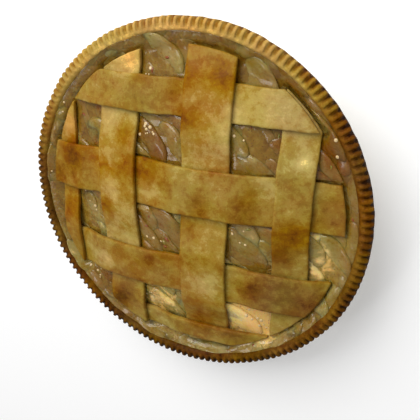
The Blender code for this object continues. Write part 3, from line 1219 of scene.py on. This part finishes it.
@dataclass(frozen=True)
class SmallThing:
    """One kind of small thing on the filling.

    The method that models it, its finish, its smallest and largest size, how many clusters of how many
    each are dropped at random and how wide a cluster is, and the spots in millimetres that are chosen.
    """

    name: str
    model: Callable[[], bpy.types.Object]
    finish: Tint
    sizes: tuple[float, float]
    clusters: int
    each: int
    spread: float
    chosen: tuple[tuple[float, float], ...] = ()


@dataclass
class AppleFilling:
    """Slices of cooked apple in syrup, heaped under the lattice and out to the crust."""

    weave: Weave
    cuts: list[StripCut]
    slice_length: float = 46 * MM
    slice_width: float = 24 * MM
    slice_thickness: float = 5.6 * MM
    slice_waver: float = 0.8 * MM
    row_step: float = 10.5 * MM
    end_step: float = 32 * MM
    rows_margin: float = 5 * MM
    ring_count: int = 27
    lie: float = math.radians(-45)
    below_weave: float = 1.0 * MM
    moat_height: float = 39.8 * MM
    moat_rise: float = 1.6 * MM
    shore_radius: float = 112.6 * MM
    shore_margin: float = 4 * MM
    shore_softness: float = 4.4 * MM
    softness: float = 0.6 * MM
    slot: str = "apple_filling"
    chance: random.Random = field(default_factory=lambda: random.Random(12))

    def bed(self, x: float, y: float) -> float:
        """Finds the height that the slices lie at: domed under the lattice and rising to the crust.

        Args:
            x: The place's x.
            y: The place's y.

        Returns:
            The height of the bed there.
        """
        radius = math.hypot(x, y)
        domed = self.weave.height(x, y) - self.below_weave
        share = (radius - self.weave.radius) / (self.shore_radius - self.weave.radius)
        moat = self.moat_height + self.moat_rise * share
        return domed + (moat - domed) * rising(radius, 98 * MM, 7 * MM)

    def tones(self) -> list[Patch]:
        """Lists where the slices and the syrup are lighter or darker than elsewhere, a few of them painted
        highlights.

        Returns:
            The lighter patches, and with a minus the darker ones.
        """
        return patches_at(
            # (49, -73), (90, -8) and (92, -24) light the brightest slices: painted highlights.
            (49, -73, 20, 1.1), (90, -8, 14, 0.28), (92, -24, 13, 0.3), (-20, -73, 19, 0.46),
            (87, -60, 12, 0.06), (0, -110, 30, 0.14), (-62, -60, 20, -0.1), (-73, -16, 12, 0.26),
            (-95, -55, 26, 0.2), (-16, -16, 12, -0.08), (94, 46, 20, -0.2), (-70, 40, 16, -0.08),
            (45, 90, 22, -0.1), (-16, 46, 16, -0.12), (46, -16, 14, 0.08), (98, 52, 20, -0.1),
            (80, -76, 18, -0.12),
        )

    def held_in(self, x: float, y: float) -> tuple[float, float]:
        """Pushes a point of a slice in from the crust that it would run into.

        Args:
            x: The point's x.
            y: The point's y.

        Returns:
            The point's x and y once it lies inside the crust.
        """
        radius = math.hypot(x, y)
        free, soft = self.shore_radius - self.shore_margin, self.shore_softness
        if radius <= free:
            return x, y
        share = (free + soft * (1 - math.exp((free - radius) / soft))) / radius
        return x * share, y * share

    def settle(self, piece: bpy.types.Object, spare: float) -> None:
        """Presses a piece down softly wherever it would come up into a strip.

        Args:
            piece: The mesh object.
            spare: How far below the strips it stays.
        """
        for vertex in piece.data.vertices:
            limit = self.weave.room_under(self.cuts, vertex.co.x, vertex.co.y) - spare
            over = vertex.co.z - (limit - self.softness)
            if over > 0:
                vertex.co.z = limit - self.softness * math.exp(-over / self.softness)

    def apple_slice(self) -> bpy.types.Object:
        """Models one slice: a half moon with its core cut out, thicker along its outer arc.

        Returns:
            The slice, lying flat at the origin with its length along X.
        """
        outer_share, inner_share, core_depth, core_width = 0.6, 0.4, 0.45, 0.4
        deselect()
        bpy.ops.mesh.primitive_grid_add(x_subdivisions=26, y_subdivisions=12, size=2)
        piece = bpy.context.object
        piece.name = "apple_slice"
        body = piece.vertex_groups.new(name="body")
        for vertex in piece.data.vertices:
            s, t = math.sin(vertex.co.x * math.pi / 2), math.sin(vertex.co.y * math.pi / 2)
            outer = outer_share * self.slice_width * (1 - abs(s) ** 2.8) ** 0.5
            core = 1 - core_depth * bump_at(s, core_width)
            inner = -inner_share * self.slice_width * core * (1 - abs(s) ** 4) ** 0.5
            vertex.co = (s * self.slice_length / 2, inner + (outer - inner) * (t + 1) / 2, 0.0)
            rounded = math.sqrt(max((1 - abs(t) ** 3.5) * (1 - s**6), 0))
            wedge = 0.8 + 0.2 * t
            body.add([vertex.index], max(rounded * wedge, 0.02), "REPLACE")
        settings = {"thickness": self.slice_thickness, "offset": 0.0, "use_even_offset": False}
        apply_modifier(piece, "SOLIDIFY", vertex_group="body", **settings)
        with editing(piece):
            bpy.ops.mesh.remove_doubles(threshold=0.05 * MM)
            bpy.ops.mesh.normals_make_consistent(inside=False)
        return piece

    def lay(self, master: bpy.types.Object, how: SlicePlace) -> bpy.types.Object:
        """Lays a copy of the slice in the filling, following its bed.

        Args:
            master: The slice to copy.
            how: How it lies.

        Returns:
            The laid slice, with its own mesh.
        """
        piece = copy_of(master)
        spin = Matrix.Rotation(how.turn, 3, "Z")
        sink = self.slice_thickness * how.scale.z * 0.5 + how.depth
        seed = Vector((how.place.x, how.place.y, how.turn)) * 30
        for vertex in piece.data.vertices:
            local = Vector(vertex.co[i] * how.scale[i] for i in range(3))
            flat = spin @ Vector((local.x, local.y, 0))
            x, y = self.held_in(how.place.x + flat.x, how.place.y + flat.y)
            soft = self.slice_waver * noise.noise(local / (8 * MM) + seed)
            vertex.co = (x, y, self.bed(x, y) + local.z + local.y * how.lean - sink + soft)
        write_attribute(piece, "tone", lambda _: how.tone)
        return piece

    def rows(self) -> list[SlicePlace]:
        """Places the shingled rows of slices under the lattice.

        Returns:
            How each slice lies.
        """
        chance = self.chance
        made = []
        spin = Matrix.Rotation(self.lie, 2)
        reach = self.weave.radius - self.rows_margin
        count = math.ceil(reach / self.row_step)
        for row in range(-count, count + 1):
            for k in range(-4, 5):
                start = (k + (row % 2) / 2 + chance.uniform(-0.15, 0.15)) * self.end_step
                place = spin @ Vector((start, (row + chance.uniform(-0.2, 0.2)) * self.row_step))
                faces = chance.choice((1, -1))
                turn = self.lie + chance.uniform(-0.3, 0.3) + (math.pi if faces < 0 else 0.0)
                size = Vector(chance.uniform(*ends) for ends in ((0.8, 1.1), (0.8, 1.15), (0.85, 1.1)))
                lean = chance.uniform(0.14, 0.25) * faces * (-1 if chance.random() < 0.08 else 1)
                depth = chance.uniform(0.7, 1.8) * MM
                tone = chance.uniform(0.34, 0.68)
                if place.length < reach:
                    made.append(SlicePlace(place, turn, size, lean, depth, tone))
        return made

    def ring(self) -> list[SlicePlace]:
        """Places the ring of shorter slices next to the crust.

        Returns:
            How each slice lies.
        """
        chance = self.chance
        made = []
        for k in range(self.ring_count):
            angle = 2 * math.pi * (k + chance.uniform(-0.25, 0.25)) / self.ring_count
            radius = self.weave.radius + chance.uniform(3.4, 5.2) * MM
            size = Vector((chance.uniform(0.6, 0.8), chance.uniform(0.46, 0.56), 0.75))
            turn = angle - math.pi / 2 + chance.uniform(-0.2, 0.2)
            place = Vector((math.cos(angle), math.sin(angle))) * radius
            lean = chance.uniform(-0.16, 0.16)
            depth = chance.uniform(-0.1, 0.7) * MM
            made.append(SlicePlace(place, turn, size, lean, depth, chance.uniform(0.4, 0.54)))
        return made

    def slices(self) -> bpy.types.Object:
        """Lays all the slices.

        Returns:
            The slices, joined into one piece.
        """
        master = self.apple_slice()
        laid = [self.lay(master, how) for how in self.rows() + self.ring()]
        bpy.data.objects.remove(master, do_unlink=True)
        return join("apple_slices", laid)

    def syrup(self) -> bpy.types.Object:
        """Models the syrup and everything under it as one turned solid with a rippled top.

        Returns:
            The syrup.
        """
        bottom, top_rings, facets = 10.3 * MM, 58, 168
        ripple_size, ripple_depth, top_layer = 8 * MM, 1.2 * MM, 3.2 * MM
        outline = [(0.0, bottom), (76 * MM, bottom), (82 * MM, 12 * MM), (100.9 * MM, 34 * MM)]
        outline += [(107 * MM, 36.2 * MM), (111.4 * MM, 38.6 * MM)]
        for k in range(top_rings, -1, -1):
            radius = self.shore_radius * k / top_rings
            dip = 1.85 * MM - 0.8 * MM * rising(radius, 100 * MM, 8 * MM)
            outline.append((radius, self.bed(radius, 0) - dip))
        piece = turned("filling_syrup", outline, facets)
        top = piece.vertex_groups.new(name="top")
        above = [v.index for v in piece.data.vertices if v.co.z > self.bed(v.co.x, v.co.y) - top_layer]
        top.add(above, 1.0, "REPLACE")
        roughen(piece, ripple_size, ripple_depth, "top")
        return piece

    def drop_onto(self, tree: BVHTree, x: float, y: float) -> tuple[Vector, Vector] | None:
        """Finds where something dropped on the filling lands.

        Args:
            tree: The filling's surface.
            x: The x that it is dropped at.
            y: The y that it is dropped at.

        Returns:
            The point and the surface's direction there, or nothing under or close to a strip or the crust.
        """
        drop_height, shore_gap, least_room = 0.1, 1 * MM, 1.2 * MM
        if math.hypot(x, y) > self.shore_radius - shore_gap:
            return None
        point, normal, _, _ = tree.ray_cast(Vector((x, y, drop_height)), Vector((0, 0, -1)))
        if point is None or self.weave.room_under(self.cuts, x, y) - point.z < least_room:
            return None
        return point, normal

    def scatter(self, kind: SmallThing, tree: BVHTree) -> bpy.types.Object:
        """Drops copies of a small thing on the filling, first on its chosen spots and then at random.

        Args:
            kind: The kind of thing. Its model is about one unit in size.
            tree: The filling's surface.

        Returns:
            All of them as one piece.
        """
        master = kind.model()
        made = []
        spots = [Vector(spot) * MM for spot in kind.chosen]
        for spot in spots + self.random_spots(kind.clusters, kind.each, kind.spread):
            landed = self.drop_onto(tree, spot.x, spot.y)
            size = self.chance.uniform(*kind.sizes)
            spin = Matrix.Rotation(self.chance.uniform(0, 2 * math.pi), 4, "Z")
            if landed is None:
                continue
            point, normal = landed
            upright = normal.to_track_quat("Z", "Y").to_matrix().to_4x4()
            piece = copy_of(master)
            piece.data.transform(Matrix.Translation(point) @ upright @ spin @ Matrix.Scale(size, 4))
            made.append(piece)
        bpy.data.objects.remove(master, do_unlink=True)
        return join(kind.name, made)

    def random_spots(self, clusters: int, each: int, spread: float) -> list[Vector]:
        """Random spots in clusters all over the filling.

        Args:
            clusters: How many clusters there are.
            each: How many spots are in each.
            spread: How wide a cluster is.

        Returns:
            The spots, seen from above.
        """
        spots = []
        for _ in range(clusters):
            radius = self.shore_radius * math.sqrt(self.chance.random())
            turn = self.chance.uniform(0, 2 * math.pi)
            middle = Vector((radius * math.cos(turn), radius * math.sin(turn)))
            for _ in range(each):
                spots.append(middle + Vector((self.chance.gauss(0, spread), self.chance.gauss(0, spread))))
        return spots

    def ball(self, subdivisions: int, height: float, width: float = 1.0) -> bpy.types.Object:
        """Models a squashed ball, one unit in radius along X.

        Args:
            subdivisions: How finely it is faceted.
            height: Its half height.
            width: Its half width.

        Returns:
            The ball.
        """
        deselect()
        bpy.ops.mesh.primitive_ico_sphere_add(subdivisions=subdivisions, radius=1)
        bpy.context.object.data.transform(Matrix.Diagonal((1, width, height, 1)))
        return bpy.context.object

    def bead(self) -> bpy.types.Object:
        """Models one flattened bead of syrup."""
        return self.ball(subdivisions=2, height=0.38)

    def speck(self) -> bpy.types.Object:
        """Models one flake of ground spice."""
        return self.ball(subdivisions=1, height=0.35, width=0.6)

    def peel(self) -> bpy.types.Object:
        """Models one curled shred of apple skin, left on a slice.

        Returns:
            The shred, about two units long.
        """
        curl_radius, half_turn, half_width, taper = 1.2, 0.8, 0.3, 0.6
        deselect()
        bpy.ops.mesh.primitive_grid_add(x_subdivisions=9, y_subdivisions=2, size=2)
        piece = bpy.context.object
        for vertex in piece.data.vertices:
            turn, across = vertex.co.x * half_turn, vertex.co.y
            wide = half_width * (1 - taper * vertex.co.x**2)
            ring = curl_radius + across * wide
            height = 0.12 * math.cos(3 * turn) - 0.1 * across**2
            vertex.co = (ring * math.sin(turn), ring * math.cos(turn) - curl_radius, height)
        apply_modifier(piece, "SOLIDIFY", thickness=0.14, offset=0.0)
        return piece

    def small_things(self) -> list[SmallThing]:
        """Lists the kinds of small thing that lie on the filling.

        Returns:
            The kinds, in the order in which they are dropped.
        """
        # The beads are coloured pale as painted glints, whitish dots of light on the syrup.
        bead = Tint("syrup_bead", linear(204, 172, 116), linear(232, 206, 156), 0.08)
        spice = Tint("ground_spice", linear(88, 44, 14), linear(126, 70, 26), 0.6)
        red = Tint("red_skin", linear(116, 38, 8), linear(156, 82, 26), 0.4)
        green = Tint("green_skin", linear(112, 108, 26), linear(160, 146, 60))
        bead_sizes = (0.5 * MM, 1.3 * MM)
        spice_sizes = (0.2 * MM, 0.45 * MM)
        peel_sizes = (1.4 * MM, 2.8 * MM)
        # These four spots put pale beads on the brightest slices as painted glints.
        glint_spots = ((52, -72), (54.5, -73.5), (45, -70), (58, -79))
        reds = ((50, -94), (-26, -16), (-13, -29))
        return [
            SmallThing("syrup_beads", self.bead, bead, bead_sizes, 30, 4, 4 * MM, glint_spots),
            SmallThing("spice_specks", self.speck, spice, spice_sizes, 44, 10, 9 * MM),
            SmallThing("red_peel", self.peel, red, peel_sizes, 26, 1, 0.0, reds),
            SmallThing("green_peel", self.peel, green, peel_sizes, 18, 1, 0.0, ((18, -106),)),
        ]

    def build(self) -> None:
        """Builds and dresses the filling and what is scattered on it."""
        syrup_spare, slices_spare, middle_tone = 0.5 * MM, 0.15 * MM, 0.5
        # The tone spots include painted highlights on the brightest slices.
        spots = self.tones()
        syrup = self.syrup()
        self.settle(syrup, syrup_spare)
        write_attribute(syrup, "tone", lambda place: middle_tone + total_at(spots, place))
        dress(syrup, AppleSyrup().material(), self.slot, "apple_filling")
        slices = self.slices()
        self.settle(slices, slices_spare)
        layer = slices.data.attributes["tone"]
        for vertex, tone in zip(slices.data.vertices, layer.data):
            tone.value += total_at(spots, vertex.co)
        dress(slices, CookedApple().material(), self.slot)
        tree = surface_of([syrup, slices])
        for kind in self.small_things():
            dress(self.scatter(kind, tree), kind.finish.material(), self.slot)


@dataclass
class PieDish:
    """The plain round dish: a foot ring, a sloping wall and a rounded lip."""

    height: float = 36 * MM
    base_radius: float = 88 * MM
    lip_radius: float = 116.5 * MM
    lip_inner: float = 108.5 * MM
    facets: int = 160

    def outline(self) -> list[tuple[float, float]]:
        """Draws the dish's section.

        Returns:
            Radius and height of its points, from the axis on the underside out round the lip and back inside.
        """
        lip_half, underside, floor_top = 1.9 * MM, 1.4 * MM, 5 * MM
        foot = [(0.0, underside), (74.6 * MM, underside), (75.6 * MM, 0.9 * MM)]
        foot += arc((77.6 * MM, 1.0 * MM), (1.2 * MM, 1.0 * MM), 200, 270, 4)
        foot += arc((self.base_radius - 1.6 * MM, 1.4 * MM), (1.6 * MM, 1.4 * MM), 270, 350, 5)
        wall = [(self.base_radius + 1.2 * MM, 3.0 * MM), (109.2 * MM, 31.2 * MM)]
        neck = arc((111.2 * MM, 30.4 * MM), (1.6 * MM, 1.8 * MM), 150, 90, 3)
        lip = arc((self.lip_radius - lip_half, self.height - lip_half), (lip_half, lip_half), -80, 90, 8)
        inner = [(self.lip_inner, self.height), (106.3 * MM, 33.6 * MM), (self.base_radius, 9 * MM)]
        return foot + wall + neck + lip + inner + [(82 * MM, floor_top), (0.0, floor_top)]

    def build(self) -> None:
        """Builds and dresses the dish."""
        piece = turned("dish_glazed", self.outline(), self.facets)
        dress(piece, DishGlaze().material(), "dish_glaze", "pie_dish")


@dataclass
class Studio:
    """A pale floor, soft lamps and the camera at the photograph's place."""

    camera_place: Vector = field(default_factory=lambda: Vector((0.16229, 0.16062, 0.36506)))
    camera_right: Vector = field(default_factory=lambda: Vector((0.9092, 0.0151, -0.4161)))
    camera_up: Vector = field(default_factory=lambda: Vector((-0.1829, 0.9123, -0.3665)))
    lens: float = 52.16
    sensor: float = 36.0
    aim: Vector = field(default_factory=lambda: Vector((0, 0, 0.04)))
    world_strength: float = 0.4
    floor_size: float = 6.0
    floor_glow: float = 0.12

    def floor(self) -> None:
        """Lays the floor."""
        deselect()
        bpy.ops.mesh.primitive_plane_add(size=self.floor_size)
        floor = bpy.context.object
        floor.name = "studio_floor"
        shading = Shading("pale_floor")
        white = (0.95, 0.95, 0.95, 1.0)
        shading.set(base_color=white, roughness=0.9, specular_ior_level=0.1)
        shading.set(emission_color=white, emission_strength=self.floor_glow)
        floor.data.materials.append(shading.material)

    def sky(self) -> None:
        """Fills the room with even white light."""
        world = bpy.data.worlds.new("studio")
        world.use_nodes = True
        background = world.node_tree.nodes["Background"]
        background.inputs["Color"].default_value = (1, 1, 1, 1)
        background.inputs["Strength"].default_value = self.world_strength
        bpy.context.scene.world = world

    def lamp(self, name: str, place: Vector, size: float, power: float) -> None:
        """Hangs a square lamp that faces the pie.

        Args:
            name: The lamp's name.
            place: Where it hangs.
            size: The length of its side.
            power: Its power in watts.
        """
        deselect()
        bpy.ops.object.light_add(type="AREA", location=place)
        lamp = bpy.context.object
        lamp.name = name
        lamp.data.size = size
        lamp.data.energy = power
        lamp.rotation_mode = "QUATERNION"
        lamp.rotation_quaternion = (self.aim - place).to_track_quat("-Z", "Y")

    def camera(self) -> None:
        """Sets the camera where the photograph was taken from, rolled as it was."""
        data = bpy.data.cameras.new("photo_camera")
        data.lens = self.lens
        data.sensor_width = self.sensor
        camera = bpy.data.objects.new("photo_camera", data)
        bpy.context.scene.collection.objects.link(camera)
        back = self.camera_right.cross(self.camera_up)
        turn = Matrix((self.camera_right, self.camera_up, back)).transposed().to_4x4()
        camera.matrix_world = Matrix.Translation(self.camera_place) @ turn
        bpy.context.scene.camera = camera

    def build(self) -> None:
        """Sets up the whole studio."""
        self.floor()
        self.sky()
        self.lamp("key_lamp", Vector((-0.35, 0.95, 0.95)), size=1.0, power=17.6)
        self.lamp("sparkle_lamp", Vector((-0.55, -0.25, 1.1)), size=0.24, power=1.2)
        self.camera()
        bpy.context.scene.view_settings.view_transform = "Standard"


def main() -> None:
    """Builds the pie from the dish up, then the studio."""
    logging.basicConfig(level=logging.INFO, format="%(message)s")
    weave = Weave()
    cuts = weave.strips()
    PieDish().build()
    PastryCase().build()
    AppleFilling(weave, cuts).build()
    Lattice(weave, cuts).build()
    Studio().build()


if __name__ == "__main__":
    main()
